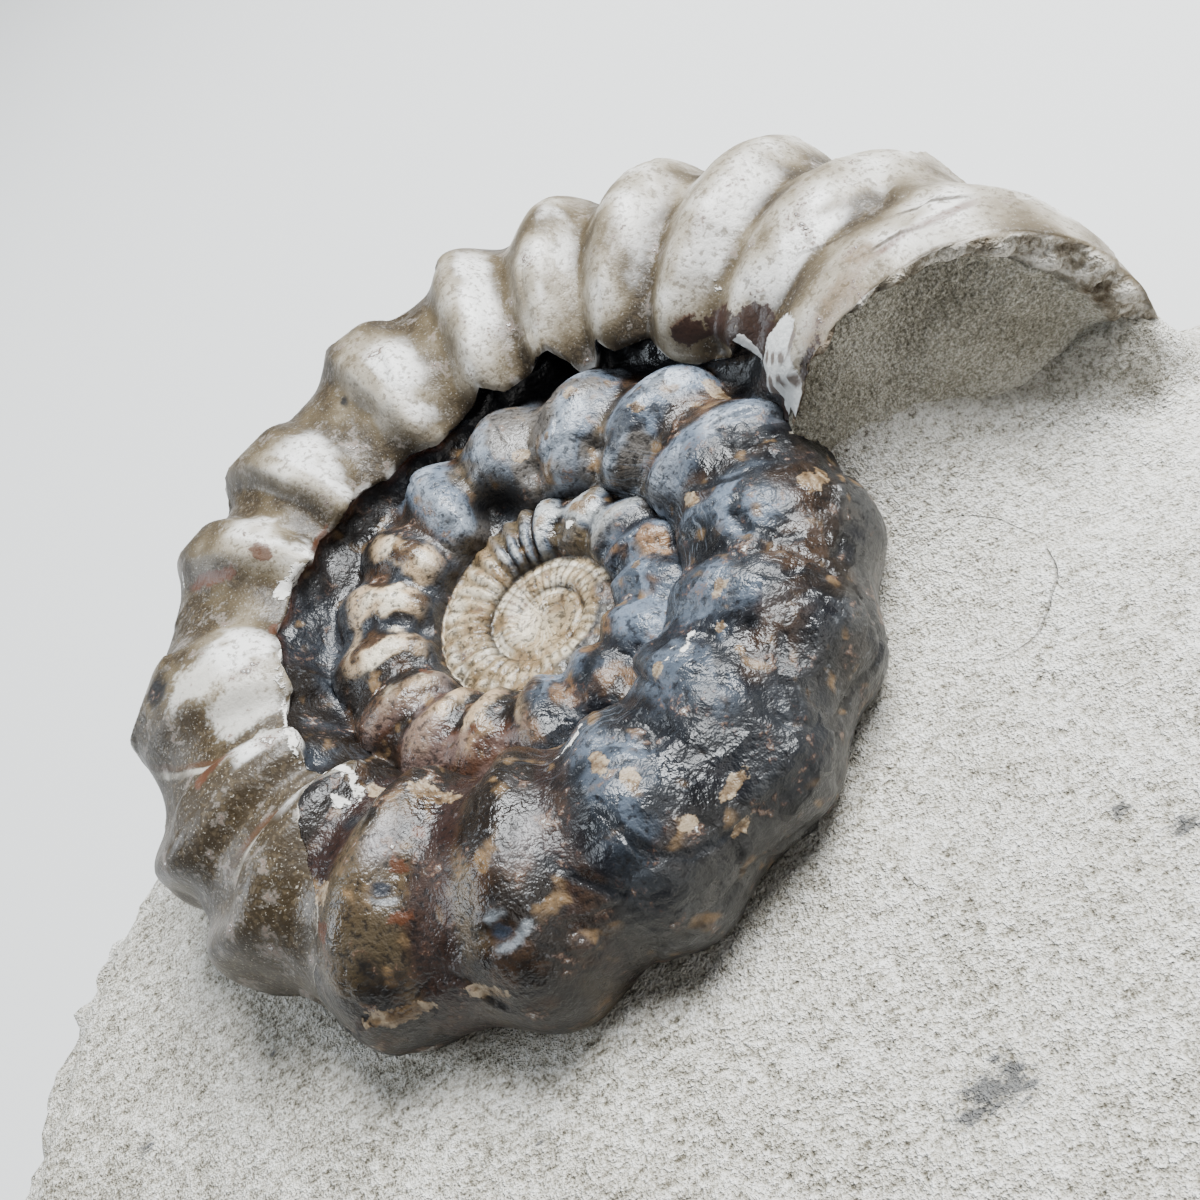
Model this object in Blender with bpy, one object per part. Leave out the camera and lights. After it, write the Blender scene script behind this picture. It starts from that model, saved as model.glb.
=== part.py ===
"""Ammonite fossil lying in the piece of limestone that it was found in.

Metres, +Z up along the axis that the shell coils round. The origin is at the bottom centre of the stone,
and +X points from the middle of the coil to the shell's mouth. A place along the shell is its turn in
degrees back from the mouth, which runs anticlockwise from +X seen from above.
"""

import bisect
import math

import bmesh
import bpy
from mathutils import Vector, noise

# The coil
SHELL_DIAMETER = 0.070  # across the outer whorl and the pole, measured between the ribs
COIL_POLE = Vector((-0.0015, 0.0067, 0.0320))  # the middle of the coil, halfway through the shell
EXPANSION = 1.951  # growth of every size of the whorl in one turn
TURNS = 3  # the chambers inside these are one small pit
SECTIONS_PER_TURN = 96

# The whorl's section, in umbilical radii at the same turn
SECTION_CENTRE = 1.46
SECTION_HALF_HEIGHT = 0.54  # outwards from the pole
SECTION_HALF_BREADTH = 0.4986  # along the axis
SEAM_ANGLE = 159.3  # round the section from the venter, where a whorl meets the one inside it
COVERED_ANGLE = 41.7  # where the next whorl out covers it
UNDER_ANGLE = -140.0  # where the buried side ends
FLANK_ROWS, VENTER_ROWS, UNDER_ROWS = 6, 6, 3

# The ribs, by the turn of each crest
RIB_CRESTS = [
    6, 21, 36, 52, 66, 82, 101, 123, 142, 167, 189, 206, 232, 256, 276, 298, 320, 343,
    367, 393, 421, 445, 471,
]
INNER_RIB_STEP = 25  # between crests on the whorls further in
RIB_HEIGHT = 0.130  # at the venter, in umbilical radii
RIB_FLANK_SHARE = 0.85  # of that height at the top of the flank
RIB_FADE = 30.0  # degrees of the section over which a rib dies out towards the seam
RIB_SHARPNESS = 1.5
WORN_RIBS = (245, 275, 365, 385)  # turns over which the ribs lose height, and then regain it
WORN_SHARE = 0.5  # of the height, between those turns
MOUTH_RIBS = (5, 40)  # turns over which they rise from the lower ones by the mouth
MOUTH_SHARE = 0.3

# The mouth, which is broken across and full of rock
MOUTH_LEAN = 5.0  # degrees by which the venter runs on past the flank
MOUTH_REACH = 15.0  # the lean dies out within this many degrees

# The middle of the coil, from the median plane
CHAMBER_LEVEL = -0.0006  # the pit in the first whorls
BURIED_LEVEL = -0.0050

# The stone
BLOCK_OUTLINE = [
    (-165, 0.0568), (-142, 0.0481), (-109, 0.0417), (-79, 0.0442), (-55, 0.0541), (-34, 0.0583),
    (-13, 0.0560), (8, 0.0525), (14, 0.0432), (27, 0.0431), (49, 0.0420), (76, 0.0437),
    (103, 0.0445), (125, 0.0453), (144, 0.0437), (162, 0.0430), (173, 0.0472), (188, 0.0536),
]  # bearing in degrees from the stone's middle, and how far its edge is
BLOCK_SEGMENTS = 72
BLOCK_RINGS = [
    (0.0, 1.0), (0.3, 1.0), (0.55, 1.0), (0.75, 1.0), (0.88, 1.0), (0.96, 0.995),
    (1.0, 0.95), (1.015, 0.7), (1.005, 0.35), (0.985, 0.07), (0.965, 0.0), (0.0, 0.0),
]  # from the middle of the top to the middle of the base: share of the outline, share of the height
BLOCK_ROUGHNESS = 0.0014  # of the broken sides
BLOCK_BROKEN_FROM = 0.9  # share of the outline
BLOCK_LUMPS_PER_METRE = 90
POCKET_GAP = 0.0003

# The stone's upper surface. Ranges are in metres from the pole, and run from no change to all of it.
BLOCK_TOP_BELOW_POLE = 0.0041  # in front of the shell
MOUTH_MOUND = Vector((0.0235, 0.0, 0.0020))  # its middle, and how far it rises under the mouth
MOUTH_MOUND_WIDTH = 0.0072
MOUTH_FALL, MOUTH_FALL_X, MOUTH_FALL_Y = 0.0041, (0.0285, 0.0450), (-0.0180, -0.0020)
BANK_RISE, BANK_X, BANK_Y = 0.0051, (0.0350, 0.0420), (-0.0025, 0.0005)
LEFT_FALL, LEFT_X = 0.0031, (-0.0180, -0.0450)
REAR_FALL, REAR_Y = 0.0041, (0.0100, 0.0370)

UMBILICAL_RADIUS = SHELL_DIAMETER / ((SECTION_CENTRE + SECTION_HALF_HEIGHT) * (1 + EXPANSION**-0.5))
TURN_STEP = 360 / SECTIONS_PER_TURN


def smooth_step(low, high, value):
    share = min(max((value - low) / (high - low), 0), 1)
    return share * share * (3 - 2 * share)


# --- The shell ---


def rib_crests():
    """The turn of every crest out to the last whorl modelled, each moved to the nearest section."""
    crests = [-9] + RIB_CRESTS
    while crests[-1] < 360 * (TURNS + 1):
        crests.append(crests[-1] + INNER_RIB_STEP)
    return [round(crest / TURN_STEP) * TURN_STEP for crest in crests]


def rib_wave(turn, crests):
    """1 on a crest and 0 midway between two."""
    after = bisect.bisect_right(crests, turn)
    before = crests[after - 1]
    phase = (turn - before) / (crests[after] - before)
    return (0.5 + 0.5 * math.cos(math.tau * phase)) ** RIB_SHARPNESS


def rib_strength(turn):
    """Share of its full height that a rib has at this turn."""
    start, low, rising, end = WORN_RIBS
    worn = smooth_step(start, low, turn) - smooth_step(rising, end, turn)
    young = MOUTH_SHARE + (1 - MOUTH_SHARE) * smooth_step(*MOUTH_RIBS, turn)
    return young * (1 - (1 - WORN_SHARE) * worn)


def shell_point(turn, angle, crests):
    """The point of the shell at this turn, this many degrees round the section from the venter."""
    outwards, upwards = math.cos(math.radians(angle)), math.sin(math.radians(angle))
    turn -= MOUTH_LEAN * max(outwards, 0) ** 2 * max(1 - turn / MOUTH_REACH, 0)
    scale = UMBILICAL_RADIUS * EXPANSION ** (-turn / 360)
    height = RIB_FLANK_SHARE + (1 - RIB_FLANK_SHARE) * max(outwards, 0)
    height *= smooth_step(0, RIB_FADE, SEAM_ANGLE - abs(angle))
    rise = RIB_HEIGHT * height * rib_strength(turn) * rib_wave(turn, crests)
    radius = scale * (SECTION_CENTRE + (SECTION_HALF_HEIGHT + rise) * outwards)
    bearing = math.radians(turn)
    level = scale * (SECTION_HALF_BREADTH + rise) * upwards
    return COIL_POLE + Vector((radius * math.cos(bearing), radius * math.sin(bearing), level))


def row_angles():
    """Angles round the section, from the seam over the flank and the venter to the buried side."""
    stations = [(SEAM_ANGLE, COVERED_ANGLE, FLANK_ROWS), (COVERED_ANGLE, -COVERED_ANGLE, VENTER_ROWS)]
    stations.append((-COVERED_ANGLE, UNDER_ANGLE, UNDER_ROWS))
    angles = [SEAM_ANGLE]
    for start, end, rows in stations:
        angles += [start + (end - start) * (row + 1) / rows for row in range(rows)]
    return angles


def shell_rows(mesh, turns):
    """A row of vertices across each section, with each whorl's seam on the whorl inside it."""
    crests, angles = rib_crests(), row_angles()
    rows = []
    for section in range(turns * SECTIONS_PER_TURN + 1):
        last = len(angles) if section <= SECTIONS_PER_TURN else FLANK_ROWS + 1
        turn = section * TURN_STEP
        rows.append([mesh.verts.new(shell_point(turn, angle, crests)) for angle in angles[1:last]])
    for section, row in enumerate(rows):
        inner = section + SECTIONS_PER_TURN
        if inner < len(rows):
            seam = rows[inner][FLANK_ROWS - 1]
        else:
            seam = mesh.verts.new(shell_point(section * TURN_STEP, SEAM_ANGLE, crests))
        row.insert(0, seam)
    return rows


def fan_to_pole(mesh, line, level):
    """Joins a line of vertices round the coil to a new one on the pole, this far above the median plane."""
    tip = mesh.verts.new(COIL_POLE + Vector((0, 0, level)))
    for first, second in zip(line, line[1:]):
        mesh.faces.new((first, second, tip))
    return tip


def coil_mesh(turns):
    """One closed surface: the coiled strip, its buried side, the flat mouth and the middle of the coil."""
    mesh = bmesh.new()
    rows = shell_rows(mesh, turns)
    for here, there in zip(rows, rows[1:]):
        for across in range(min(len(here), len(there)) - 1):
            mesh.faces.new((here[across], here[across + 1], there[across + 1], there[across]))
    buried = fan_to_pole(mesh, [row[-1] for row in rows[: SECTIONS_PER_TURN + 1]], BURIED_LEVEL)
    mesh.faces.new(rows[0] + [buried] + rows[SECTIONS_PER_TURN][:FLANK_ROWS:-1])
    chamber = fan_to_pole(mesh, [row[0] for row in rows[-SECTIONS_PER_TURN - 1 :]], CHAMBER_LEVEL)
    mesh.faces.new(rows[-1][: FLANK_ROWS + 1] + [chamber])
    bmesh.ops.recalc_face_normals(mesh, faces=mesh.faces)
    return mesh


def pocket_mesh():
    """The outer whorl, larger all round by the gap between the shell and its pocket."""
    mesh = coil_mesh(1)
    mesh.normal_update()
    moves = [vert.normal * POCKET_GAP * vert.calc_shell_factor() for vert in mesh.verts]
    for vert, move in zip(mesh.verts, moves):
        vert.co += move
    return mesh


# --- The stone ---


def block_reach(bearing):
    """How far the stone's edge is from its middle at this bearing in degrees."""
    first, last = BLOCK_OUTLINE[0], BLOCK_OUTLINE[-1]
    bearing = (bearing - first[0]) % 360 + first[0]
    points = BLOCK_OUTLINE + [(first[0] + 360, first[1])]
    if bearing > last[0]:
        points = points[-2:]
    for (start, near), (end, far) in zip(points, points[1:]):
        if start <= bearing <= end:
            return near + (far - near) * (bearing - start) / (end - start)
    return first[1]


def block_top(x, y):
    """Height of the stone's upper surface: level in front, uneven at the mouth, lower left and behind."""
    x, y = x - COIL_POLE.x, y - COIL_POLE.y
    level = COIL_POLE.z - BLOCK_TOP_BELOW_POLE
    away = math.hypot(x - MOUTH_MOUND.x, y - MOUTH_MOUND.y) / MOUTH_MOUND_WIDTH
    level += MOUTH_MOUND.z * math.exp(-away * away)
    level -= MOUTH_FALL * smooth_step(*MOUTH_FALL_X, x) * smooth_step(*MOUTH_FALL_Y, y)
    level += BANK_RISE * smooth_step(*BANK_X, x) * smooth_step(*BANK_Y, y)
    level -= LEFT_FALL * smooth_step(*LEFT_X, x)
    level -= REAR_FALL * smooth_step(*REAR_Y, y)
    return level


def matrix_mesh():
    """A ball whose rings are moved onto the stone's top, broken sides and flat base."""
    mesh = bmesh.new()
    rings = len(BLOCK_RINGS) - 1
    bmesh.ops.create_uvsphere(mesh, u_segments=BLOCK_SEGMENTS, v_segments=rings, radius=1)
    for vert in mesh.verts:
        ring = round(math.acos(max(-1, min(1, vert.co.z))) / math.pi * rings)
        share, height = BLOCK_RINGS[ring]
        bearing = math.atan2(vert.co.y, vert.co.x)
        reach = share * block_reach(math.degrees(bearing))
        x, y = reach * math.cos(bearing), reach * math.sin(bearing)
        z = height * block_top(x, y)
        if share > BLOCK_BROKEN_FROM:
            broken = noise.noise(Vector((x, y, z)) * BLOCK_LUMPS_PER_METRE) * BLOCK_ROUGHNESS
            x, y = x + broken * math.cos(bearing), y + broken * math.sin(bearing)
        vert.co = Vector((x, y, z))
    base_middle = [vert for vert in mesh.verts if vert.co.z == 0 and len(vert.link_edges) > 4]
    bmesh.ops.dissolve_verts(mesh, verts=base_middle)
    bmesh.ops.recalc_face_normals(mesh, faces=mesh.faces)
    return mesh


# --- Objects ---


def add_object(name, mesh, collection):
    data = bpy.data.meshes.new(name)
    mesh.to_mesh(data)
    mesh.free()
    made = bpy.data.objects.new(name, data)
    collection.objects.link(made)
    return made


def add_material(made, colour, roughness):
    material = bpy.data.materials.new(made.name)
    material.use_nodes = True
    shader = material.node_tree.nodes["Principled BSDF"]
    shader.inputs["Base Color"].default_value = (*colour, 1)
    shader.inputs["Roughness"].default_value = roughness
    made.data.materials.append(material)


def cut(piece, cutter):
    cutter.hide_render = True
    cutter.display_type = "WIRE"
    modifier = piece.modifiers.new(cutter.name, "BOOLEAN")
    modifier.operation = "DIFFERENCE"
    modifier.object = cutter


def new_collection(name):
    collection = bpy.data.collections.new(name)
    bpy.context.scene.collection.children.link(collection)
    return collection


for old in list(bpy.data.objects):
    bpy.data.objects.remove(old)

fossil = new_collection("ammonite_fossil")
cutters = new_collection("cutters")

ammonite = add_object("ammonite", coil_mesh(TURNS), fossil)
ammonite.data.shade_smooth()
add_material(ammonite, (0.20, 0.16, 0.12), 0.35)

matrix = add_object("matrix", matrix_mesh(), fossil)
add_material(matrix, (0.55, 0.51, 0.44), 0.9)

cut(matrix, add_object("pocket", pocket_mesh(), cutters))
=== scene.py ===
"""Ammonite fossil in its piece of limestone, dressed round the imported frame.

Metres, +Z up along the axis of the coil, +X from the middle of the coil to the shell's mouth. A place on the
shell is its turn, in degrees back from the mouth, and its angle round the whorl's section from the venter.
"""

import functools
import math

import bpy
import numpy as np
from mathutils import Matrix, Vector, noise


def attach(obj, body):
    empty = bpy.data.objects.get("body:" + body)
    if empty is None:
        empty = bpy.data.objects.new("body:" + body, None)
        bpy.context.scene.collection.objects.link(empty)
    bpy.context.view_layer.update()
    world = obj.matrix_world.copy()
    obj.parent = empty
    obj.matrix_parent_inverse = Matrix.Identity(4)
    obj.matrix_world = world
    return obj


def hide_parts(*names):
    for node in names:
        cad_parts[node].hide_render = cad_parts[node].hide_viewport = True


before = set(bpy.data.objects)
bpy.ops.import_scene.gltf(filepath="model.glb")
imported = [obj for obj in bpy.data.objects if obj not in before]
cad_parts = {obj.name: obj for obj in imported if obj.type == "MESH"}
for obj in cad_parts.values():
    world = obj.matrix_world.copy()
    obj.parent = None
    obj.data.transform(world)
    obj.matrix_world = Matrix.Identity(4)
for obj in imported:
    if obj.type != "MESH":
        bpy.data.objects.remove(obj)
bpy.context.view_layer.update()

# --- The view ---

COIL_POLE = Vector((-0.0015, 0.0067, 0.032))  # the middle of the coil, halfway through the shell
CAMERA_AT = COIL_POLE + Vector((0.01593, -0.05872, 0.05841))
CAMERA_RIGHT = Vector((0.8551, -0.2672, -0.4443))
CAMERA_UP = Vector((0.4974, 0.6647, 0.5575))
SENSOR_WIDTH, LENS = 36.0, 38.7  # in millimetres
NEAREST_SEEN = 0.001

camera = bpy.data.objects.new("camera", bpy.data.cameras.new("camera"))
camera.data.sensor_width = SENSOR_WIDTH
camera.data.lens = LENS
camera.data.clip_start = NEAREST_SEEN
axes = Matrix((CAMERA_RIGHT, CAMERA_UP, CAMERA_RIGHT.cross(CAMERA_UP))).transposed()
camera.matrix_world = Matrix.Translation(CAMERA_AT) @ axes.to_4x4()
bpy.context.scene.collection.objects.link(camera)
bpy.context.scene.camera = camera


# --- The shell ---
# One coiled tube of calcite and pyrite, grown as a logarithmic spiral, with strong single ribs. The outer
# whorl keeps its cream and olive outer layer for two thirds of a turn, and has lost it on the rest, which was
# crushed before it hardened. It was cleaned out of the rock and polished, and its mouth is broken across.

SHELL_UNIT = 0.0204  # from the pole to the umbilical seam at the mouth; sizes of the section are shares of it
EXPANSION = 1.951  # growth of every size of the whorl in one turn
TURNS_SHOWN = 4.35
SECTION_CENTRE, HALF_HEIGHT, HALF_BREADTH = 1.46, 0.54, 0.4986
SEAM_ANGLE, COVERED_ANGLE, UNDER_ANGLE = 159.3, 41.7, -140.0
BURIED_LEVEL = -0.005  # from the median plane
POLE = np.array(COIL_POLE)

PER_TURN = 600  # sections of mesh in a turn
WALL_ROWS, FLANK_ROWS, VENTER_ROWS, UNDER_ROWS = 12, 32, 36, 6
TOP_ROW = WALL_ROWS + FLANK_ROWS
MOUTH_ROWS = 28  # from the broken rim across the rock in the mouth

RIB_CRESTS = [
    6, 21, 36, 52, 66, 82, 102, 125, 142, 168, 189, 206, 232, 256, 276, 298, 320, 343, 367,
    391, 416, 443, 467, 489, 508, 532, 557, 577, 597, 620, 646, 672, 696, 718, 740, 764, 790,
]
INNER_RIB_STEP = 10  # between crests on the whorls further in
RIB_HEIGHT = 0.118

# Where the umbilical wall's outer layer is broken off: (turn, angle of the broken edge, depth of the hollow)
LIP = [
    (0, 152, 0), (6, 149, 0.02), (12, 142, 0.03), (18, 138, 0.06), (21.5, 147, 0.05), (28, 151, 0.03),
    (33, 150, 0.06), (36, 146, 0.1), (40.5, 142, 0.13), (47, 145, 0.12), (50.5, 139, 0.13),
    (52.5, 141, 0.1), (54, 150, 0.02), (58, 151, 0.02), (59.5, 145, 0.11), (62.5, 138, 0.14),
    (66.5, 140, 0.14), (70, 144, 0.11), (76, 146, 0.08), (81, 139, 0.1), (85, 144, 0.08), (91, 147, 0.05),
    (97, 148, 0.04), (104, 143, 0.06), (112, 143, 0.06), (118, 137, 0.07), (128, 137, 0.07),
    (134, 132, 0.07), (141, 134, 0.07), (147, 128, 0.07), (154, 129, 0.06), (160, 125, 0.06),
    (167, 128, 0.06), (173, 127, 0.05), (178, 131, 0.05), (184, 125, 0.05), (190, 122, 0.04),
    (197, 122, 0.03), (204, 117, 0.03), (214, 128, 0.02), (230, 146, 0), (360, 150, 0),
    (2000, 150, 0),
]


def ease(start, end, value):
    """Goes smoothly from 0 to 1 as the value goes from start to end, up or down."""
    share = np.clip((value - start) / (end - start), 0, 1)
    return share * share * (3 - 2 * share)


def between(first, last, value, soft=6):
    """1 from first to last, with this much soft edge on both sides."""
    return ease(first - soft, first + soft, value) * ease(last + soft, last - soft, value)


def noise_field(points, per_metre, octaves=3):
    """Fractal noise at each point, from about -1 to 1."""
    return np.array([noise.fractal(p, 1.0, 2.0, octaves) for p in (points * per_metre).tolist()])


def plates(points, per_metre):
    """Tilted plates with sharp edges: the height at each point, and its nearness to an edge."""
    height, edge = [], []
    for p in (points * per_metre).tolist():
        distances, cells = noise.voronoi(p)
        tilt = noise.cell_vector(cells[0] * 7.3) * 2 - Vector((1, 1, 1))
        height.append(tilt.dot(Vector(p) - cells[0]))
        edge.append(distances[1] - distances[0])
    return np.array(height), np.array(edge)


def spot(turn, angle, at_turn, at_angle, half_turn, half_angle, lean=0):
    """1 in the middle of a patch and 0 at its edge. lean slews it: degrees of turn for each of angle."""
    along = (turn - at_turn - lean * (angle - at_angle)) / half_turn
    return np.clip(1 - np.hypot(along, (angle - at_angle) / half_angle), 0, 1)


def trail(turn, angle, points, width):
    """1 on a line drawn through points of (turn, angle), and 0 this many units of the section from it."""
    scale = EXPANSION ** (-points[0][0] / 360)
    along, across = math.radians(SECTION_CENTRE) * scale, math.radians(HALF_HEIGHT) * scale
    nearest = np.full(len(turn), 9.0)
    for (t0, a0), (t1, a1) in zip(points, points[1:]):
        x, y = (turn - t0) * along, (angle - a0) * across
        dx, dy = (t1 - t0) * along, (a1 - a0) * across
        share = np.clip((x * dx + y * dy) / (dx * dx + dy * dy), 0, 1)
        nearest = np.minimum(nearest, np.hypot(x - share * dx, y - share * dy))
    return np.clip(1 - nearest / width, 0, 1)


def lip_at(turn):
    """The angle of the broken edge, and the depth of the hollow under it."""
    steps = np.array(LIP)
    edge = np.interp(turn, steps[:, 0], steps[:, 1])
    return edge, np.interp(turn, steps[:, 0], steps[:, 2])


# Each is a row of turns and a row of what the ribs do there, and a loss is (share lost, from turn, to turn).
FLANK_LEAN = [145, 171, 197, 214.5, 224, 232], [0, 4, 8, 8.5, 3, 0]
VENTER_LEAN = [88, 102, 125, 142, 168, 185], [0, 3, 4, 0, 0.8, 0]
SHARPNESS = [0, 62, 105, 205, 240, 365, 395, 470], [0.7, 0.75, 1.6, 1.6, 1.1, 1, 0.75, 0.85]
RIB_LOSSES = [(0.58, 790, 850), (0.62, 880, 1020), (0.55, 1030, 1130), (0.8, 1240, 1330)]


def ribs(turn, angle):
    """The ribs' form, 0 in the valleys and 1 on the crests, and how strong they are there."""
    crests = [-30, -9] + RIB_CRESTS
    while crests[-1] < 360 * (TURNS_SHOWN + 1):
        crests.append(crests[-1] + INNER_RIB_STEP)
    crests = np.array(crests, float)
    across = (angle - 60) / 100  # from the shoulder to the seam
    lean = -4 * between(15, 112, turn, 12) * across
    lean += np.interp(turn, *FLANK_LEAN) * ease(10, 55, angle)
    lean += np.interp(turn, *VENTER_LEAN) * ease(80, 20, angle)
    leaned = turn - lean
    after = np.clip(np.searchsorted(crests, leaned, side="right"), 1, len(crests) - 1)
    phase = (leaned - crests[after - 1]) / (crests[after] - crests[after - 1])
    steeper_behind = 0.3 * between(78, 172, turn, 12) * between(4, 128, angle, 12)
    swell = 0.5 + 0.5 * np.cos(math.tau * phase ** (1 - steeper_behind))
    peaked = 0.65 * between(92, 180, turn, 10) * ease(84, 52, angle)
    flat_topped = 0.75 * between(85, 214, turn, 15) * between(60, 122, angle, 14)
    wave = swell ** np.interp(turn, *SHARPNESS)
    wave += peaked * (1 - np.sqrt(np.clip(1 - swell, 0, 1)) - wave)
    wave = wave * (1 - flat_topped) + 0.95 * ease(0.1, 0.74, swell) * flat_topped
    strength = 0.3 + 0.7 * ease(5, 40, turn)
    strength *= 1 - 0.42 * between(262, 372, turn, 12)
    strength *= 1 + 0.35 * between(385, 480, turn, 12)
    for loss, low, high in RIB_LOSSES:
        strength *= 1 - loss * ease(low, high, turn)
    return wave, strength


def section(turn, row):
    """The angle round the section of each row of the mesh, and whether it lies on the umbilical wall."""
    edge, _ = lip_at(turn)
    stations = [0, WALL_ROWS, TOP_ROW, TOP_ROW + VENTER_ROWS, TOP_ROW + VENTER_ROWS + UNDER_ROWS]
    angle = np.interp(row, stations, [0, 0, COVERED_ANGLE, -COVERED_ANGLE, UNDER_ANGLE])
    wall = row < WALL_ROWS
    angle = np.where(wall, SEAM_ANGLE + (edge - SEAM_ANGLE) * row / WALL_ROWS, angle)
    flank = (row >= WALL_ROWS) & (row <= TOP_ROW)
    angle = np.where(flank, edge + (COVERED_ANGLE - edge) * (row - WALL_ROWS) / FLANK_ROWS, angle)
    return angle, wall


def shell_place(turn, angle, rise=0, inset=0):
    """Points of the shell: rise stands out of the section, and inset moves them outwards from the pole."""
    outwards, upwards = np.cos(np.radians(angle)), np.sin(np.radians(angle))
    turn = turn - 5 * np.maximum(outwards, 0) ** 2 * np.maximum(1 - turn / 15, 0)
    scale = SHELL_UNIT * EXPANSION ** (-turn / 360)
    radius = scale * (SECTION_CENTRE + (HALF_HEIGHT + rise) * outwards + inset)
    bearing = np.radians(turn)
    level = scale * (HALF_BREADTH + rise) * upwards
    return np.stack([radius * np.cos(bearing), radius * np.sin(bearing), level], -1) + POLE


PITS = [  # (turn, angle, half lengths, depth)
    (449, 138, 17, 32, 0.24), (470, 128, 6, 12, 0.05), (238.5, 80, 4, 7, 0.03), (238, 71, 4, 8, 0.025),
    (255, 48, 4.5, 9, 0.03), (296, 52, 13, 24, 0.05), (335.5, 93, 5, 9, 0.04), (286, 88, 4, 10, 0.03),
    (330, 76, 5, 9, 0.03), (302, 122, 6, 9, 0.03), (430, 128, 7, 14, 0.05), (404, 122, 7, 14, 0.05),
    (279, 100, 4, 10, 0.03), (22, 146, 9, 10, 0.04), (520, 140, 12, 12, 0.04), (349, 112, 5, 12, 0.03),
]
CRACKS = [  # across the crushed part, each through points of (turn, angle)
    [(345, 88), (338, 96), (334, 88), (331, 70), (332, 60)], [(326, 96), (322, 84), (321, 70), (324, 60)],
    [(272.5, 75), (274.5, 60), (276, 45), (280, 34), (287, 26)], [(308, 96), (304, 84), (300, 74)],
    [(356, 122), (352, 108), (348, 92), (350, 78)], [(283, 108), (287, 96), (284, 84)],
    [(366, 82), (362, 70), (360, 58)], [(312, 60), (306, 50), (302, 34)],
    [(660, 112), (648, 96), (640, 84)], [(263, 66), (266, 52), (270, 38)],
]
CRACK_DEPTH, CRACK_HALF_WIDTH = 0.014, 0.016
CREASES = [  # in the outer layer: (depth, points)
    (0.005, [(206, 58), (207, 83), (209, 103), (212.5, 117)]),
    (0.004, [(176, 41), (183, 66), (189, 90), (190.5, 108)]),
]


def relief(turn, angle):
    """How far the surface stands out of the smooth section, in shares of the unit, and the ribs' form."""
    flat = shell_place(turn, angle)
    wave, strength = ribs(turn, angle)
    height = 0.85 + 0.15 * np.maximum(np.cos(np.radians(angle)), 0)
    height *= ease(0, 26, SEAM_ANGLE - np.abs(angle))
    rise = RIB_HEIGHT * height * strength * wave
    crushed = between(268, 384, turn, 14) + 0.55 * between(610, 735, turn, 15)
    flaky = 0.45 * between(482, 625, turn, 12) + 0.3 * between(384, 482, turn, 12)
    broken = np.clip(crushed + flaky + 0.2 * between(225, 270, turn, 10), 0, 1)
    size = EXPANSION ** (turn / 360)
    drift = np.stack([noise_field(flat + shift, 200, 2) for shift in (0, 0.31, 0.73)], -1) * 0.0016
    slabs, edges = plates(flat + drift, 120)
    chips, chip_edges = plates(flat + 1.5 * drift, 330)
    rise += broken * (0.05 * noise_field(flat, 70, 2) + 0.04 * slabs + 0.007 * chips)
    rise -= broken * (0.012 * ease(0.1, 0, edges) + 0.003 * ease(0.08, 0, chip_edges))
    folds = 1 - np.abs(noise_field(flat * (1, 1, 2.5) + drift, 300, 2))
    rise += broken * 0.008 * (folds**5 - 0.3)
    whole = 0.007 * noise_field(flat, 160, 3) + 0.016 * slabs
    rise += (1 - broken) * whole + 0.0022 * noise_field(flat, 900, 3)
    inner = ease(700, 780, turn)
    rise += inner * 0.018 * noise_field(flat, 700, 3) * np.minimum(size, 4) / 2
    worn_flat = ease(800, 860, turn)
    rise -= worn_flat * (0.13 * np.sin(np.radians(angle)) ** 2 - 0.03 * noise_field(flat, 1500, 3))
    for at_turn, at_angle, half_turn, half_angle, depth in PITS:
        dip = spot(turn, angle, at_turn, at_angle, half_turn, half_angle)
        rise -= depth * ease(0, 0.9, dip)
    for depth, line in [(CRACK_DEPTH, crack) for crack in CRACKS] + CREASES:
        rise -= depth * ease(0, 1, trail(turn, angle, line, CRACK_HALF_WIDTH))
    return rise, wave


def shell_points(turn, row):
    """Where each vertex goes, with the turn, the angle and the ribs' form there."""
    joined = (row == 0) & (turn + 360 <= 360 * TURNS_SHOWN + 0.01)  # on the whorl inside it
    turn = np.where(joined, turn + 360, turn)
    row = np.where(joined, TOP_ROW, row)
    angle, wall = section(turn, row)
    rise, wave = relief(turn, angle)
    _, depth = lip_at(turn)
    ragged = 1 + 0.5 * noise_field(shell_place(turn, angle), 500, 2)
    share = np.clip(row / WALL_ROWS, 0, 1)
    hollow = depth * ragged * wall * np.sin(np.pi * np.clip(0.12 + 0.88 * share, 0, 1)) ** 0.6
    rise = np.where(wall & (depth > 0.01), rise * 0.4, rise)
    place = shell_place(turn, angle, rise, hollow)
    return place, turn, angle, wave


bpy.ops.object.select_all(action="DESELECT")
COLUMNS = MOUTH_ROWS + round(PER_TURN * TURNS_SHOWN)
LAST_ROW = WALL_ROWS + FLANK_ROWS + VENTER_ROWS + UNDER_ROWS + 1  # the last one closes the buried side
bpy.ops.mesh.primitive_grid_add(x_subdivisions=COLUMNS, y_subdivisions=LAST_ROW, size=1)
shell = bpy.context.object
shell.name = "ammonite_shell"


def vertex_places(piece):
    places = np.empty(len(piece.data.vertices) * 3)
    piece.data.vertices.foreach_get("co", places)
    return places.reshape(-1, 3)


def grid_cells(piece):
    """The column and the row of each vertex of a unit grid."""
    flat = vertex_places(piece) + 0.5
    return np.rint(flat[:, 0] * COLUMNS).astype(int), np.rint(flat[:, 1] * LAST_ROW).astype(int)


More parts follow.
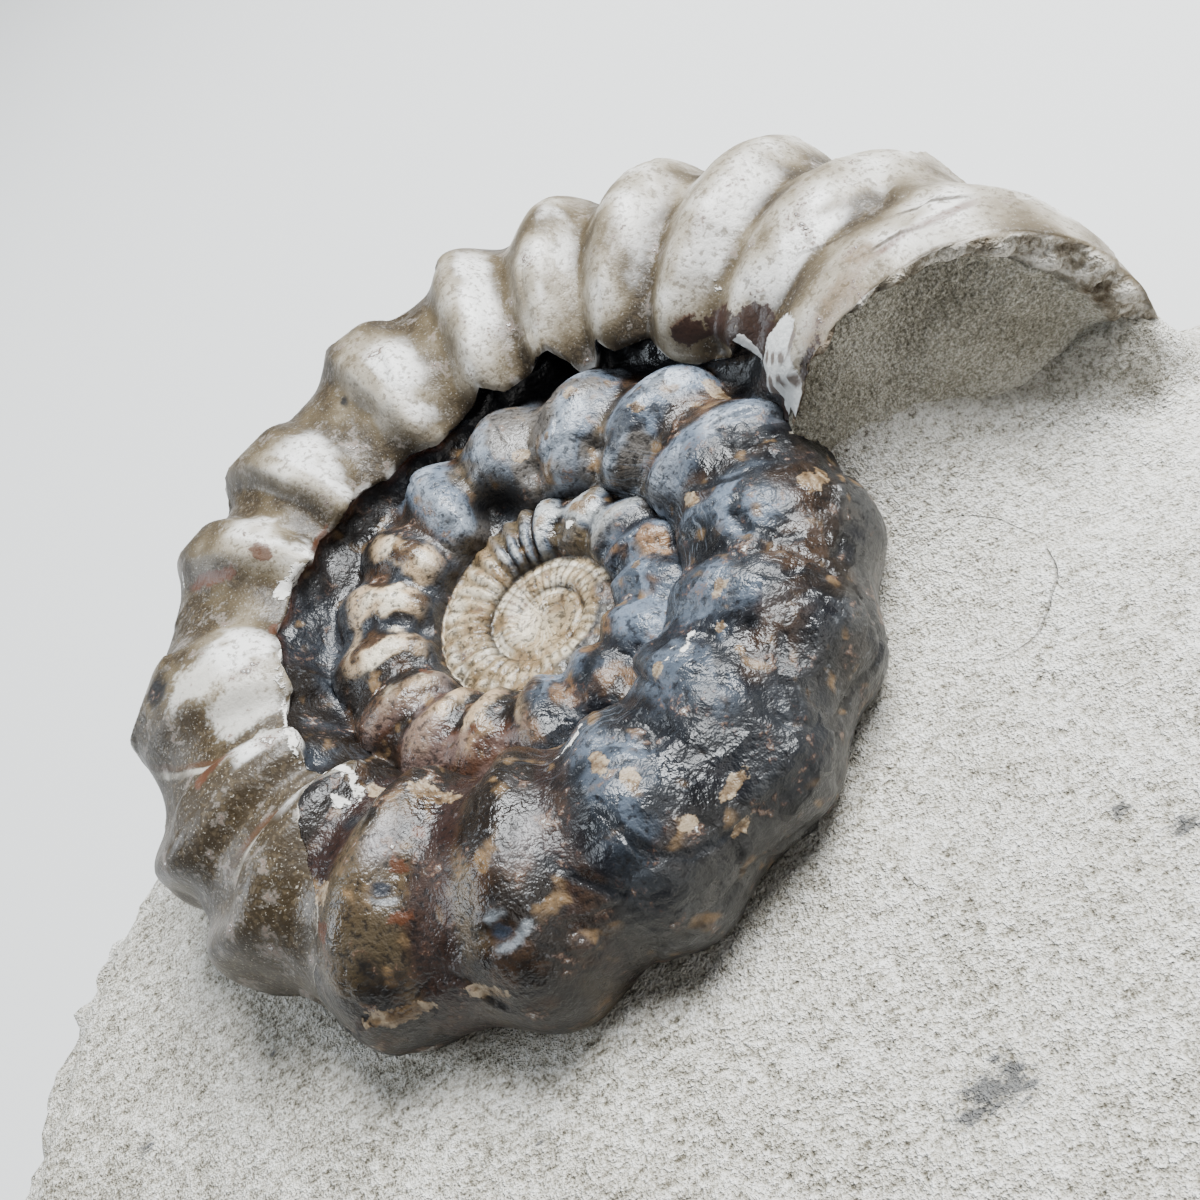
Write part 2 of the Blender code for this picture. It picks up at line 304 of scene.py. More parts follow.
# The inner whorls show only their flanks, so the rest of their grid goes.
column, row = grid_cells(shell)
covered = (column > MOUTH_ROWS + PER_TURN) & (row > TOP_ROW)
bpy.ops.object.mode_set(mode="EDIT")
bpy.ops.mesh.select_mode(type="VERT")
bpy.ops.mesh.select_all(action="DESELECT")
bpy.ops.object.mode_set(mode="OBJECT")
shell.data.vertices.foreach_set("select", covered)
bpy.ops.object.mode_set(mode="EDIT")
bpy.ops.mesh.delete(type="VERT")
bpy.ops.object.mode_set(mode="OBJECT")
column, row = grid_cells(shell)

# Small whorls need fewer faces: their vertices go in pairs, which the merge below makes one.
turn_of = (column - MOUTH_ROWS) * 360 / PER_TURN
seam_turn = np.where(row == 0, turn_of + 360, turn_of)  # row 0 stands on the whorl inside
stride = np.where(seam_turn > 720, 2, 1)
kept_column = MOUTH_ROWS + (column - MOUTH_ROWS) // stride * stride
stride = np.where(turn_of > 1080, 4, stride)
kept_row = np.where(row < TOP_ROW, row // stride * stride, row)
turn_of = np.maximum(kept_column - MOUTH_ROWS, 0) * 360 / PER_TURN
place, turn, angle, wave = shell_points(turn_of, kept_row)

# The buried side and the middle of the coil close on the pole.
buried_end = POLE + (0, 0, BURIED_LEVEL)
inner_end = POLE + (0, 0, 0.62 * SHELL_UNIT * EXPANSION ** (-TURNS_SHOWN))
place[row == LAST_ROW] = buried_end
end_turn = 360 * TURNS_SHOWN
heart = (turn_of > end_turn - 360 + 0.01) & (row == 0)
place[heart] = inner_end
on_flank = kept_row < TOP_ROW
tail = ease(end_turn - 60, end_turn, turn_of) * on_flank
tail[(turn_of > end_turn - 0.4) & on_flank] = 1
place += (inner_end - place) * tail[:, None]

# The broken rim, and the rock in the mouth from the rim to the whorl inside.
MOUTH_STEP = 0.0009  # the rock lies this far behind the rim
RIM_SHARES = [-140, 0, 40, 90, 122, 160], [0.1, 0.12, 0.14, 0.12, 0.09, 0.07]  # of the mouth, by angle
in_mouth = column < MOUTH_ROWS
rim_rows = np.arange(LAST_ROW + 1)
rim, _, rim_angle, _ = shell_points(np.zeros(LAST_ROW + 1), rim_rows)
inner, _, _, _ = shell_points(np.full(LAST_ROW + 1, 360.0), np.maximum(rim_rows, TOP_ROW))
rim[-1] = inner[-1] = buried_end
mouth_row = row[in_mouth]
across = (MOUTH_ROWS - column[in_mouth]) / MOUTH_ROWS
rim_share = np.interp(rim_angle, *RIM_SHARES)[mouth_row]
face = rim[mouth_row] + (inner[mouth_row] - rim[mouth_row]) * across[:, None]
sunk = ease(rim_share * 0.8, rim_share * 1.2, across) * ease(1, 0.75, across)
rock_grain = noise_field(face, 300, 3)
held = (mouth_row > 2) & (mouth_row < LAST_ROW - 2)
crumbled = 0.35 + 1.5 * noise_field(face, 650, 3)
crumbled *= np.sin(np.pi * np.clip(across / (rim_share * 1.2), 0, 1))
face[:, 1] += held * (sunk * (MOUTH_STEP + 0.0006 * rock_grain) - 0.0006 * crumbled)
ROW_GAP = 1e-5  # keeps the rows of the wall apart
face[:, 1] -= ROW_GAP * np.minimum(mouth_row, WALL_ROWS) * np.sin(np.pi * across)
place[in_mouth] = face

shell.data.vertices.foreach_set("co", place.ravel())


def store(piece, name, values):
    piece.data.attributes.new(name, "FLOAT", "POINT").data.foreach_set("value", np.asarray(values, float))


def store_colour(piece, name, values):
    colours = np.concatenate([values, np.ones((len(values), 1))], axis=1)
    piece.data.attributes.new(name, "FLOAT_COLOR", "POINT").data.foreach_set("color", colours.ravel())


def store_noise(piece, name, points, per_metre, octaves=3):
    store(piece, name, 0.5 + 0.3 * noise_field(points, per_metre, octaves))


# Colours of the layers under the cream one, laid over each other along the turn and across the section
SOOT, BLUE_BLACK, DARK_GREY = (0.007, 0.007, 0.008), (0.01, 0.012, 0.016), (0.036, 0.034, 0.03)
STEEL, SLATE, SILVER = (0.1, 0.124, 0.16), (0.026, 0.032, 0.041), (0.24, 0.27, 0.31)
BITTER, UMBER, PLUM = (0.009, 0.006, 0.004), (0.038, 0.02, 0.01), (0.02, 0.01, 0.008)
OLIVE, LILAC, PEACH = (0.085, 0.062, 0.034), (0.16, 0.145, 0.145), (0.43, 0.31, 0.19)
CREAM, BEIGE, ASH = (0.55, 0.49, 0.38), (0.31, 0.232, 0.136), (0.4, 0.4, 0.37)
AMBER, RUSSET, TAWNY = (0.25, 0.13, 0.05), (0.08, 0.032, 0.016), (0.15, 0.09, 0.038)
IVORY = (0.62, 0.57, 0.47)

tint = np.tile(SOOT, (len(turn), 1))


def lay(colour, share):
    """Lays this colour over the tint of each vertex, by its share there."""
    share = np.clip(share, 0, 1)[:, None]
    tint[:] = tint * (1 - share) + np.array(colour) * share


def lay_in(zone, *rows):
    """Lays colours over each other in one zone, from rows of (colour, share)."""
    for colour, share in rows:
        lay(colour, zone * share)


def spots(places):
    """How near each vertex is to the middle of one of these spots on the shell."""
    return np.max([spot(turn, angle, *at) for at in places], axis=0)


def drawn(lines):
    """How near each vertex is to lines on the shell: (strength, half width, points of turn and angle)."""
    return np.max([strength * trail(turn, angle, points, width) for strength, width, points in lines], axis=0)


mottle = noise_field(place, 130, 3)
speckle = noise_field(place + 0.5, 420, 3)
crest = np.clip(wave, 0, 1)
lay(BLUE_BLACK, 0.5 + mottle)

# The last of the brown layer, at the foot of the outer whorl
brown = between(214, 266, turn, 5)
lay_in(
    brown,
    (BITTER, 1),
    (UMBER, ease(-0.05, 0.35, speckle + 0.5 * mottle) * 0.85),
    (OLIVE, ease(0.16, 0.46, mottle + 0.25 * speckle) * 0.65),
)
lay(OLIVE, between(245, 300, turn, 10) * ease(34, 0, angle) * ease(-0.15, 0.35, mottle) * 0.7)
# Pale lilac on two rib tops: partly the facets' lilac grey, partly a painted highlight
lay(LILAC, spots([(259, 90, 7, 24), (235.5, 92, 4, 14)]) * 1.8 * (0.35 + speckle))
lay(PLUM, brown * ease(0.35, 0.08, crest) * 0.9)

# The crushed part, black, with a painted reflection of the sky in steel blue where it faces upwards
painted_sky_reflection = between(58, 126, angle, 12) * (0.42 + 0.55 * ease(312, 350, turn))
lay_in(
    between(264, 400, turn, 6),
    (SLATE, ease(0, 0.5, mottle + 0.5 * crest) * 0.75),
    (STEEL, painted_sky_reflection * ease(-0.1, 0.5, 0.5 * crest + 0.9 * mottle + 0.3 * speckle)),
    (UMBER, ease(0.22, 0.5, -mottle + 0.3 * speckle) * 0.6),
    (DARK_GREY, ease(56, 18, angle) * 0.75),
)

# Under the broken edge of the cream layer, and in the hollow below it
lip_edge, lip_depth = lip_at(turn)
past_lip = angle - lip_edge
lay_in(
    ease(-1, 2, past_lip) * between(-5, 218, turn, 4),
    (BITTER, 1),
    (BLUE_BLACK, ease(-0.1, 0.3, mottle) * between(96, 214, turn, 10)),
    (RUSSET, between(88, 166, turn, 8) * ease(9, 2, past_lip) * (0.8 + speckle)),
    (SLATE, between(150, 214, turn, 8) * ease(0.1, 0.5, speckle) * 0.7),
)

# The whorl inside: pillows of grey blue at the top, with a painted highlight in pale blue grey on their
# crests
lay_in(
    between(366, 482, turn, 8),
    (BITTER, 1),
    (UMBER, ease(-0.1, 0.35, speckle)),
    (STEEL, ease(0.05, 0.45, crest + 0.5 * mottle)),
    (SILVER, ease(0.6, 1.1, crest + 0.9 * speckle) * 0.8),
    (OLIVE, ease(0.2, 0.42, mottle * 0.7 - 0.35 * speckle + 0.1) * 0.7),
)
# Cream petals on the left
patchy = 0.5 * speckle + 0.5 * mottle
lay_in(
    between(480, 572, turn, 5),
    (BITTER, 1),
    (SLATE, ease(-0.05, 0.35, patchy) * 0.7),
    (PEACH, ease(0.5, 0.85, crest + 1.4 * patchy) * between(70, 134, angle, 9) * 0.9),
    (CREAM, ease(0.75, 1.1, crest + 1.3 * speckle) * between(84, 128, angle, 8) * 0.9),
    (UMBER, ease(0.1, 0.3, -speckle) * 0.85),
)
# Rusty ones at the foot, and dark ones on the right
lay_in(
    between(556, 616, turn, 7),
    (BITTER, 1),
    (PEACH, ease(0.25, 0.7, crest + 1.3 * patchy) * between(62, 132, angle, 8) * 0.9),
    (AMBER, ease(0.05, 0.35, mottle + 0.5 * speckle) * 0.85),
    (LILAC, ease(0.2, 0.45, -mottle + 0.4 * speckle) * 0.6),
    (RUSSET, ease(0.1, 0.4, -mottle) * 0.6),
)
lay_in(
    between(618, 735, turn, 7),
    (BLUE_BLACK, 1),
    (STEEL, ease(0, 0.45, mottle + 0.35 * crest - 0.1) * 0.85),
    (UMBER, ease(0.1, 0.35, speckle) * 0.7),
    (AMBER, ease(0.3, 0.5, speckle) * 0.4),
)

# The first whorls: dark beads, then a buff disc with a pale line and a groove along it
lay_in(
    between(735, 822, turn, 7),
    (BITTER, 1),
    (STEEL, ease(0.25, 0.65, crest + 0.5 * speckle) * 0.9),
    (ASH, ease(0.7, 1.2, crest + 1.1 * speckle) * 0.6),
    (OLIVE, ease(-0.05, 0.25, -speckle + 0.4 * mottle) * 0.85),
)
along_disc = ease(860, 900, turn)
lay_in(
    ease(816, 832, turn),
    (BEIGE, 1),
    (CREAM, ease(0.4, 1.05, 0.4 * crest + 1.6 * speckle + 0.15) * 0.8),
    (TAWNY, ease(0.04, 0.36, -speckle - 0.3 * mottle) * 0.75),
    (IVORY, between(60, 74, angle, 5) * along_disc * ease(-0.2, 0.2, speckle) * 0.7),
    (OLIVE, ease(0.45, 0.05, crest) * ease(1290, 1200, turn) * 0.6),
    (OLIVE, between(76, 86, angle, 4) * along_disc * 0.6),
    (SLATE, between(985, 1080, turn, 18) * between(42, 96, angle, 10) * 0.8),
)
lay(BITTER, ease(140, 156, angle) * ease(366, 380, turn) * ease(1200, 1150, turn) * 0.8)
store_colour(shell, "tint", tint)

# How much of each vertex every layer, stain and break covers, and where highlights and shade are painted
CREAM_END = [-60, 30, 66, 84, 100, 113, 122, 140], [226, 224, 224, 221, 215, 211, 218, 212]  # turn by angle
cream_end = np.interp(angle, *CREAM_END) + 4 * mottle
cream_layer = ease(-3, 3, cream_end - turn) * ease(-1.6, 1.6, -past_lip)
chalk_and_glint = spots([
    (145, 129, 5.5, 8, -0.2), (149, 124, 4, 6), (304, 103, 2.6, 6, 0.9), (300.5, 107, 1.8, 4, 0.9),
    # Chalky breaks, and one painted glint: the spot at turn 146, angle 57
    (765, 112, 6, 10), (273.5, 121, 1.4, 7, 0.5), (27, 122, 1.5, 3), (146, 57, 1.8, 4), (190, 122, 3, 5),
])
chalk_and_glint = np.maximum(chalk_and_glint, drawn([
    (0.5, 0.026, [(166, 128), (175, 126), (183, 125), (190.5, 122), (204, 116)]),
    (0.62, 0.016, [(206, 110), (209.5, 116), (213, 120.5)]),
    (0.85, 0.022, [(213, 120.5), (217, 122), (219.5, 117)]),
    (0.9, 0.03, [(219.5, 120), (221.5, 115), (219, 110)]), (0.5, 0.016, [(262, 118), (268, 121), (274, 119)]),
]))
calcite = drawn([
    (1, 0.135, [(8, 133), (6.5, 138)]), (1, 0.125, [(6.5, 138), (4, 143)]),
    (1, 0.115, [(4, 142), (2.5, 147)]), (1, 0.085, [(2.5, 147), (-0.5, 154)]),
    (0.9, 0.055, [(16.5, 139), (13.2, 143.5)]),
])
veins = drawn([(1, 0.02, line) for line in (
    [(11, 139.5), (7, 137.5), (3, 134)], [(8, 146.5), (4, 143), (0.5, 139.5)], [(5.5, 125), (4.2, 132)],
    [(6, 146), (5, 151)], [(2.8, 126), (2.4, 133), (0, 141)],
)])
dark = spots([
    (170, 72, 6, 12), (189, 57, 3, 9), (296.5, 50, 12, 26), (449, 138, 24, 40), (300, 25, 14, 24),
    (336, 92, 5, 7), (107, 96, 2, 8), (280, 62, 7, 12), (224, 104, 4, 12), (18.5, 142, 4, 9),
    (326, 88, 10, 16), (290, 70, 8, 12), (345, 82, 5, 10), (455, 128, 9, 20), (312, 78, 6, 10),
    (272, 96, 5, 9),
])
dark = np.maximum(dark, drawn([(1, 0.03, crack) for crack in CRACKS]))
STAINS_AND_GLINTS = {
    "frame": [  # umber, round the calcite
        (14, 133, 9, 12), (21, 136, 10, 12), (29, 139, 5, 8), (3, 150, 5, 12), (10, 146, 7, 14),
        (1, 134, 2, 14),
    ],
    "rust": [
        (30, 137, 3.5, 7), (23, 133, 4, 6), (192, 87, 3, 11, -0.15), (238.5, 82, 2.2, 4),
        (240, 61, 2.6, 5), (229, 56, 2.4, 5), (597, 85, 6, 12), (135, 133, 6, 5), (552, 128, 8, 8),
        (240, 98, 2, 4), (160, 124, 4, 4), (147.5, 84, 1.6, 24, -0.02), (143, 112, 2.5, 8),
    ],
    "tan": [
        (289.5, 42, 4, 5), (282, 46, 1.8, 3.5), (286.5, 26, 2.5, 4), (343.5, 53, 5, 9), (346, 44, 4, 7),
        (276, 92, 2.5, 10), (240, 118, 8, 7), (223, 124, 5, 6), (352, 122, 6, 7, 0.5), (380, 52, 6, 7),
        (414, 84, 3.5, 8), (390, 96, 4, 6), (237.5, 19, 6, 7), (226, 70, 2.6, 7), (310, 92, 2.5, 4),
        (296, 108, 2.5, 4), (433, 112, 4, 8), (700, 96, 6, 9), (279, 74, 2, 8), (318, 98, 3, 4),
        (250, 24, 4, 5), (420, 112, 3, 5),
    ],
    # Ringed pits, with a painted highlight on their pale rims
    "rings": [(237, 73, 4.4, 8), (255, 48.5, 4.6, 9), (262, 57, 1.3, 3)],
    "smear": [(180, 108, 7, 24, -0.1), (173, 92, 6, 20), (219, 100, 4, 12), (190, 112, 5, 10)],
    "stain": [(3, 112, 5, 16), (1.5, 128, 3, 9), (5.5, 98, 3, 12)],
}
# The stone's top, with its heights and places in metres. Its x and y are measured from the pole.
TOP_LEVEL = COIL_POLE.z - 0.0041  # in front of the shell
MOUND_HEIGHT, MOUND_X, MOUND_RADIUS = 0.002, 0.0235, 0.0072
BANK_HEIGHT, BANK_X, BANK_Y, BANK_LENGTH, BANK_WIDTH = 0.0036, 0.04, -0.003, 0.0032, 0.003
LEFT_FALL, FAR_FALL, CORNER_FALL = 0.0031, 0.0041, 0.0013
RAMP_X = [0.013, 0.02, 0.0275, 0.03, 0.034, 0.037, 0.0395, 0.043]
RAMP_HEIGHTS, RAMP_LENGTH = [0, 0.003, 0.0032, 0.0032, 0.0034, 0.0034, 0.0028, 0], 0.0028


def block_top(x, y):
    """Height of the stone's upper surface, with the rock left against the mouth and the bank beside it."""
    x, y = x - COIL_POLE.x, y - COIL_POLE.y
    level = TOP_LEVEL + MOUND_HEIGHT * np.exp(-((x - MOUND_X) ** 2 + y**2) / MOUND_RADIUS**2)
    level -= CORNER_FALL * ease(0.0285, 0.045, x) * ease(-0.018, -0.002, y)
    bank = BANK_HEIGHT * np.exp(-(((x - BANK_X) / BANK_LENGTH) ** 2 + ((y - BANK_Y) / BANK_WIDTH) ** 2))
    level += bank * ease(-0.006, -0.0044, y)
    level -= LEFT_FALL * ease(-0.018, -0.045, x)
    level -= FAR_FALL * ease(0.01, 0.037, y)
    in_front = np.clip(-y - 0.0036 * ease(0.03, 0.041, x), 0, 1)
    return level + np.interp(x, RAMP_X, RAMP_HEIGHTS) * np.exp(-in_front / RAMP_LENGTH)


# A painted highlight on the side of each crest towards the mouth, where the light falls
lit, _ = ribs(turn + 3.5, angle)  # the side of each crest towards the mouth
lit_side = np.where(turn > 88, between(96, 136, angle, 7), between(70, 122, angle, 8))
painted_highlight = ease(0.66, 0.92, lit) * lit_side * (1 - 0.5 * between(30, 62, turn, 10))
painted_highlight *= between(4, 214, turn, 8) * ease(-0.35, 0.15, speckle + 0.5 * mottle)
olive = ease(162, 208, turn + 0.25 * (75 - angle))
# The cream is darker towards the venter: painted shade. Its tone is pale on the crests and dark in the
# valleys, partly the layer's own colour and partly painted shade in the valleys.
painted_outer_shade = ease(114, 58, angle) * ease(45, 78, turn)
tone = 0.8 * crest * (1 - 0.45 * olive) * (1 - 0.35 * painted_outer_shade * ease(78, 105, turn))
tone = tone - 0.3 * ease(-22, -4, past_lip) - 0.62 * olive - 0.5 * painted_outer_shade
above_stone = np.clip(place[:, 2] - block_top(place[:, 0], place[:, 1]), 0, 1)
into_mouth = np.zeros(len(turn))  # 0 at the broken rim and 1 where the rock starts
into_mouth[in_mouth] = across / rim_share
brink = np.exp(-((past_lip / 0.9) ** 2)) * between(34, 222, turn, 4)
# The hollow under the broken edge is painted near black: painted shade in the recess
hollow = np.clip(lip_depth * 11, 0, 1) * ease(0.5, 2.5, past_lip) * (kept_row > 0)
hollow *= between(4, 92, turn, 6) + 0.35 * between(92, 215, turn, 6)
for name, places in STAINS_AND_GLINTS.items():
    store(shell, name, spots(places))
for name, values in dict(
    cream=cream_layer, chalk_and_glint=chalk_and_glint, calcite=calcite, veins=veins, dark=dark, olive=olive, painted_highlight=painted_highlight,
    tone=tone, hollow=hollow, brink=brink, into_mouth=into_mouth, bearing=turn, round=angle,
    foot=in_mouth * np.exp(-above_stone / 0.0018),
    crushed=between(266, 400, turn, 10) + between(610, 735, turn, 15),
).items():
    store(shell, name, values)
store_noise(shell, "blotch", place, 170)
store_noise(shell, "cloud", place + 0.3, 330)
store_noise(shell, "mottling", place + 0.7, 620, 2)
store_noise(shell, "iron", place + 1.1, 900, 2)

bpy.ops.object.mode_set(mode="EDIT")
bpy.ops.mesh.select_all(action="SELECT")
bpy.ops.mesh.remove_doubles(threshold=1e-7)
bpy.ops.mesh.select_all(action="SELECT")
bpy.ops.mesh.normals_make_consistent(inside=False)
bpy.ops.object.mode_set(mode="OBJECT")
bpy.ops.object.shade_smooth()


class Finish:
    """A material under construction: each call adds its nodes and returns what comes out of them."""

    def __init__(self, name):
        self.material = bpy.data.materials.new(name)
        self.material.use_nodes = True
        self.tree = self.material.node_tree
        self.shader = self.tree.nodes["Principled BSDF"]
        self.place = self.node("TexCoord").outputs["Object"]

    def plug(self, socket, value):
        if isinstance(value, bpy.types.NodeSocket):
            self.tree.links.new(value, socket)
        else:
            socket.default_value = (*value, 1) if socket.type == "RGBA" else value

    def node(self, kind, *values):
        """A new node of this kind, with its first sockets set or joined."""
        node = self.tree.nodes.new("ShaderNode" + kind)
        for socket, value in zip(node.inputs, values):
            self.plug(socket, value)
        return node

    def shade(self, socket, value):
        self.plug(self.shader.inputs[socket], value)

    def read(self, attribute, output="Fac"):
        node = self.node("Attribute")
        node.attribute_name = attribute
        return node.outputs[output]

    def maths(self, operation, first, second=0):
        node = self.node("Math", first, second)
        node.operation = operation
        return node.outputs[0]

    def add(self, first, second):
        return self.maths("ADD", first, second)

    def times(self, first, second):
        return self.maths("MULTIPLY", first, second)

    def swing(self, *noises):
        """The sum of rows of (noise, size): each is taken from its middle and made this large."""
        parts = [self.times(self.add(noise, -0.5), size) for noise, size in noises]
        return functools.reduce(self.add, parts)

    def rise(self, value, low, high, start=0, end=1):
        """Goes smoothly from start to end as the value goes from low to high."""
        node = self.node("MapRange", value, low, high, start, end)
        node.interpolation_type = "SMOOTHSTEP"
        return node.outputs[0]

    def mix(self, share, first, second, blend="MIX"):
        node = self.node("Mix", share)
        node.data_type, node.blend_type = "RGBA", blend
        self.plug(node.inputs[6], first)
        self.plug(node.inputs[7], second)
        return node.outputs[2]

    def layers(self, base, rows):
        """Colours laid over a base one after another, from rows of (share, colour)."""
        for share, colour in rows:
            base = self.mix(share, base, colour)
        return base

    def ramp(self, value, stops):
        """A colour that follows the value through these stops, which may lie outside 0 to 1."""
        low, high = stops[0][0], stops[-1][0]
        node = self.node("ValToRGB", self.maths("DIVIDE", self.add(value, -low), high - low))
        points = node.color_ramp.elements
        points[0].color, points[-1].color = (*stops[0][1], 1), (*stops[-1][1], 1)
        for at, colour in stops[1:-1]:
            points.new((at - low) / (high - low)).color = (*colour, 1)
        return node.outputs[0]

    def mapped(self, move=(0, 0, 0), turn=(0, 0, 0), scale=(1, 1, 1)):
        return self.node("Mapping", self.place, move, turn, scale).outputs[0]

    def grain(self, per_metre, detail, rough=0.55, source=None):
        node = self.node("TexNoise", source or self.place)
        for name, value in (("Scale", per_metre), ("Detail", detail), ("Roughness", rough)):
            node.inputs[name].default_value = value
        return node.outputs["Fac"]

    def vectors(self, operation, first, second=(0, 0, 0)):
        node = self.node("VectorMath", first, second)
        node.operation = operation
        return node.outputs["Value" if operation in ("DOT_PRODUCT", "LENGTH") else "Vector"]

    def flakes(self, per_metre, slope, depth, bend):
        """Plane flakes, each tilted its own way: their height for a bump of this depth, and their tones."""
        bent = self.vectors("ADD", self.place, bend)
        cells = self.node("TexVoronoi", bent)
        cells.inputs["Scale"].default_value = per_metre
        tilt = self.vectors("SUBTRACT", cells.outputs["Color"], (0.5, 0.5, 0.5))
        fall = self.vectors("DOT_PRODUCT", self.vectors("SUBTRACT", bent, cells.outputs["Position"]), tilt)
        return self.times(fall, 2 * slope / depth), cells.outputs["Color"]

    def bump(self, height, depth):
        node = self.node("Bump")
        node.inputs["Distance"].default_value = depth
        self.plug(node.inputs["Height"], height)
        self.shade("Normal", node.outputs[0])


def mineral_finish():
    """Cream layer over dark calcite and pyrite, with stains, chalky breaks and the rock in the mouth."""
    made = Finish("fossil_shell")
    add, times, swing, rise, mix = made.add, made.times, made.swing, made.rise, made.mix
    read, ramp, layers = made.read, made.ramp, made.layers
    relief_depth = 0.00032
    blotch, mottling, cloud, crushed = read("blotch"), read("mottling"), read("cloud"), read("crushed")
    fine, grain_and_glints = made.grain(2300, 2, 0.65), made.grain(6500, 1)
    ragged = swing((mottling, 1.3), (fine, 0.9))
    flakes, toned = made.flakes(430, 0.19, relief_depth, times(mottling, 0.0022))

    # Streaks drawn out along the coil by its seam
    bearing, around, wander = read("bearing"), read("round"), times(mottling, 9)
    along = add(times(bearing, 0.1), times(wander, 0.1))
    stretched = made.node("CombineXYZ", along, add(times(around, 0.6), times(wander, 0.8)))
    strand = made.grain(1, 1, 0.6, stretched.outputs[0])
    by_seam = rise(add(around, swing((blotch, 70))), 104, 132)

    def patch(attribute, low=0.26, high=0.4, share=1, most=1):
        """Where a stored mark shows, with a ragged edge."""
        return rise(add(read(attribute), times(ragged, share)), low, high, 0, most)

    def fine_line(points, width):
        """A broken line across the whorl through points of (angle, turn), this wide in degrees of turn."""
        turns = [turn for _, turn in points]
        low, high = min(turns), max(turns)
        path = ramp(around, [(angle, ((turn - low) / (high - low),) * 3) for angle, turn in points])
        off = add(add(bearing, swing((mottling, 1.2))), -low)
        off = made.maths("ABSOLUTE", add(off, times(path, low - high)))
        line = times(rise(off, width, 0.3 * width), rise(cloud, 0.36, 0.56, 0.2, 1))
        first, last = points[0][0], points[-1][0]
        inside = times(rise(around, first - 6, first + 6), rise(around, last + 6, last - 6))
        return times(line, inside)

    # The bare layers under the cream one
    base = mix(rise(mottling, 0.32, 0.68, 0, 0.8), read("tint", "Color"), (0.6, 0.6, 0.6), "OVERLAY")
    tone = rise(made.vectors("DOT_PRODUCT", toned, (0.4, 0.3, 0.3)), 0.2, 0.8, 0.35, 1.6)
    shaded = made.vectors("MULTIPLY", base, mix(1, tone, tone))
    iron = times(rise(read("iron"), 0.56, 0.7), rise(cloud, 0.46, 0.6))
    # Pale flecks on the crushed part and pale blue streaks by the seam: painted glints and sheen
    painted_glints = times(rise(fine, 0.6, 0.7), rise(blotch, 0.42, 0.62))
    drawn_out = times(rise(crushed, 0, 1, 0.12, 0.8), by_seam)
    painted_sheen_streaks = times(rise(strand, 0.55, 0.68), rise(cloud, 0.36, 0.6, 0.15, 0.6))
    base = layers(base, [
        (rise(crushed, 0, 1, 0.3, 0.8), shaded),
        (rise(fine, 0.52, 0.32, 0, 0.75), (0.006, 0.005, 0.005)),
        (times(iron, 0.8), mix(fine, (0.045, 0.024, 0.011), (0.3, 0.19, 0.09))),
        (times(painted_glints, 0.3), (0.2, 0.21, 0.225)),
        (times(rise(strand, 0.47, 0.36, 0, 0.75), drawn_out), (0.005, 0.006, 0.007)),
        (times(painted_sheen_streaks, drawn_out), (0.18, 0.21, 0.25)),
        (times(rise(cloud, 0.42, 0.3), times(crushed, 0.85)), (0.005, 0.005, 0.007)),
    ])

    # The cream layer: pale on the crests and brown in the valleys, partly its own colour and partly painted
    # shade, turning olive further back
    level = add(add(read("tone"), swing((cloud, 2))), swing((blotch, 1.1)))
    cream = ramp(level, [
        (-0.25, (0.034, 0.023, 0.011)), (0.1, (0.095, 0.072, 0.041)), (0.4, (0.21, 0.175, 0.122)),
        (0.7, (0.36, 0.322, 0.256)), (0.95, (0.53, 0.5, 0.445)), (1.2, (0.74, 0.72, 0.68)),
    ])
    cream = layers(cream, [
        # Painted highlight on the side of each crest towards the mouth
        (times(read("painted_highlight"), 0.85), (0.82, 0.81, 0.785)),
        (patch("stain", 0.2, 0.8, 1, 0.75), (0.15, 0.092, 0.042)),
        (rise(fine, 0.5, 0.34, 0, 0.65), (0.095, 0.07, 0.04)),
        # Fine pale specks over the cream, and tan ones on the olive part: painted glints
        (rise(grain_and_glints, 0.62, 0.76, 0, 0.26), (0.66, 0.63, 0.57)),
        (times(times(rise(grain_and_glints, 0.66, 0.76), read("olive")), 0.38), (0.5, 0.44, 0.34)),
        (patch("smear", 0.1, 0.65, 1.2, 0.75), (0.56, 0.54, 0.49)),
    ])
    edge_at = add(read("cream"), times(ragged, 0.35))
    on_cream = rise(edge_at, 0.46, 0.5)
    edge_line = times(rise(edge_at, 0.45, 0.5), rise(edge_at, 0.58, 0.52))
    pale_folds = add(
        fine_line([(58, 207.8), (83, 208.8), (103, 210.8), (119, 214.5)], 1.2),
        fine_line([(41, 177.6), (66, 184.6), (90, 190.4), (108, 192)], 1),
    )
    folds = add(
        fine_line([(58, 206), (83, 207), (103, 209), (117, 212.5)], 1.1),
        fine_line([(41, 176), (66, 183), (90, 189), (108, 190.5)], 1),
    )
    splits = add(
        fine_line([(62, 6), (82, 8), (105, 15)], 0.6), fine_line([(80, 3.5), (100, 5.5), (118, 12)], 0.5),
    )
    base = layers(base, [
        (on_cream, cream),
        (times(edge_line, rise(mottling, 0.44, 0.6, 0, 0.7)), (0.52, 0.48, 0.41)),
        (times(pale_folds, 0.55), (0.62, 0.58, 0.5)),
        (times(folds, 0.8), (0.07, 0.034, 0.016)),
        (times(fine_line([(60, 4.9), (78, 3.9), (100, 3.6)], 0.8), 0.7), (0.11, 0.045, 0.026)),
        (times(splits, 0.85), (0.05, 0.036, 0.022)),
        (times(read("brink"), rise(mottling, 0.5, 0.64)), (0.62, 0.6, 0.56)),
    ])
